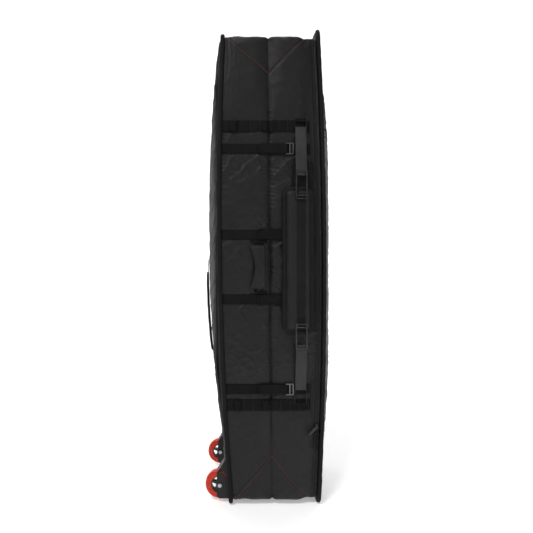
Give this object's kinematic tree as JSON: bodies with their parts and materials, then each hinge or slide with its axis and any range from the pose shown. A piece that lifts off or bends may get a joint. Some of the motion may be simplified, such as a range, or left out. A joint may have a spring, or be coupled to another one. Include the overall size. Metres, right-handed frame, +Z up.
{
  "type": "snowboard bag",
  "caption": "Rolling snowboard travel bag standing on end, with a zip-round hinged lid, padded panels, compression straps, grab handles, a shoulder strap and two inset wheels.",
  "frame": {"origin": "centre of the bag's footprint, on the surface that its bottom end stands on", "axes": "+Z up the length of the bag, -X towards the wheeled back panel, +X towards the lid, -Y towards the side with the shoulder strap"},
  "size_m": [0.4633, 0.405, 1.66],
  "materials": {
    "wall_fabric": "woven, dark grey",
    "back_fabric": "coated woven, light grey",
    "lid_fabric": "woven, near black",
    "padding": "foam",
    "board_plastic": "sheet",
    "binding_tape": "ribbed tape",
    "webbing": "woven webbing",
    "webbing_grey": "woven webbing, grey",
    "handle_padding": "padded fabric",
    "pad_mesh": "air mesh",
    "buckle_metal": "satin",
    "zip_metal": "gunmetal",
    "zip_coil": "nylon coil",
    "housing_plastic": "moulded",
    "steel": "zinc plated",
    "wheel_urethane": "translucent, red",
    "hub_plastic": "moulded, black"
  },
  "bodies": {
    "base": {"back_panel_skin": "back_fabric", "back_panel_foam": "padding", "base_board": "board_plastic", "back_binding": "binding_tape", "gusset_near_back": "wall_fabric", "gusset_far_back": "wall_fabric", "gusset_top_back": "wall_fabric", "gusset_bottom_back": "wall_fabric", "daisy_chain_bands_back": "webbing", "belt_loops": "webbing", "compression_straps": "webbing", "handle_anchors": "webbing", "wheel_housings": "housing_plastic", "housing_rivets": "steel", "axle_bolts": "steel", "axle_nuts": "steel"},
    "front_frame": {"gusset_near_front": "wall_fabric", "gusset_far_front": "wall_fabric", "gusset_top_front": "wall_fabric", "gusset_bottom_front": "wall_fabric", "zip_tape_lower": "binding_tape", "zip_coil_lower": "zip_coil", "lid_hinge_strip": "wall_fabric", "daisy_chain_bands_front": "webbing", "ladderlocks": "buckle_metal", "buckle_anchor_webs": "webbing", "strap_tails": "webbing", "shoulder_strap_rings": "buckle_metal", "ring_loops": "webbing", "shoulder_strap_webbing": "webbing_grey"},
    "lid": {"lid_skin": "lid_fabric", "lid_foam": "padding", "lid_binding": "binding_tape", "zip_tape_upper": "binding_tape", "zip_coil_upper": "zip_coil", "lid_strap_loop": "webbing"},
    "wheel_near": {"wheel_near_tyre": "wheel_urethane", "wheel_near_hub": "hub_plastic", "wheel_near_bearings": "steel", "wheel_near_spacer": "steel"},
    "wheel_far": {"wheel_far_tyre": "wheel_urethane", "wheel_far_hub": "hub_plastic", "wheel_far_bearings": "steel", "wheel_far_spacer": "steel"},
    "slider_upper": {"zip_slider_upper": "zip_metal"},
    "pull_upper": {"zip_pull_upper": "zip_metal"},
    "slider_lower": {"zip_slider_lower": "zip_metal"},
    "pull_lower": {"zip_pull_lower": "zip_metal"},
    "near_handle": {"near_grab_handle_webbing": "webbing", "near_grab_handle_sleeve": "handle_padding"},
    "far_handle": {"far_grab_handle_webbing": "webbing", "far_grab_handle_sleeve": "handle_padding"},
    "top_handle": {"top_haul_handle_webbing": "webbing", "top_haul_handle_sleeve": "handle_padding"},
    "rear_handle": {"rear_haul_handle_webbing": "webbing", "rear_haul_handle_sleeve": "handle_padding"},
    "pad": {"shoulder_pad": "handle_padding", "shoulder_pad_mesh": "pad_mesh", "shoulder_pad_centre_band": "webbing", "strap_adjusters": "buckle_metal"}
  },
  "joints": [
    {"name": "compress", "type": "slide", "parent": "base", "child": "front_frame", "axis": [-1, 0, 0], "range_m": [0, 0.045]},
    {"name": "lid_hinge", "type": "hinge", "parent": "front_frame", "child": "lid", "pos_m": [0.144, 0.19, 0.83], "axis": [0, 0, 1], "range_deg": [0, 150]},
    {"name": "wheel_near_spin", "type": "hinge", "parent": "base", "child": "wheel_near", "pos_m": [-0.181, -0.145, 0.061], "axis": [0, 1, 0], "continuous": true},
    {"name": "wheel_far_spin", "type": "hinge", "parent": "base", "child": "wheel_far", "pos_m": [-0.181, 0.145, 0.061], "axis": [0, 1, 0], "continuous": true},
    {"name": "zip_upper", "type": "slide", "parent": "front_frame", "child": "slider_upper", "axis": [0.0139, 0, 0.9999], "range_m": [0, 0.6]},
    {"name": "zip_lower", "type": "slide", "parent": "front_frame", "child": "slider_lower", "axis": [-0.0394, 0, -0.9992], "range_m": [0, 0.15]},
    {"name": "pull_upper_lift", "type": "hinge", "parent": "slider_upper", "child": "pull_upper", "pos_m": [0.15547, -0.1868, 0.274], "axis": [-0.7071, 0, 0.7071], "range_deg": [0, 120]},
    {"name": "pull_lower_lift", "type": "hinge", "parent": "slider_lower", "child": "pull_lower", "pos_m": [0.15466, -0.1868, 0.25], "axis": [-1, 0, 0], "range_deg": [0, 120]},
    {"name": "near_handle_lift", "type": "slide", "parent": "base", "child": "near_handle", "axis": [0, -1, 0], "range_m": [0, 0.02]},
    {"name": "far_handle_lift", "type": "slide", "parent": "base", "child": "far_handle", "axis": [0, 1, 0], "range_m": [0, 0.02]},
    {"name": "top_handle_lift", "type": "slide", "parent": "base", "child": "top_handle", "axis": [0, 0, 1], "range_m": [0, 0.02]},
    {"name": "rear_handle_lift", "type": "slide", "parent": "base", "child": "rear_handle", "axis": [-1, 0, 0], "range_m": [0, 0.02]},
    {"name": "pad_slide", "type": "slide", "parent": "front_frame", "child": "pad", "axis": [0, 0, 1], "range_m": [-0.03, 0.03]}
  ]
}
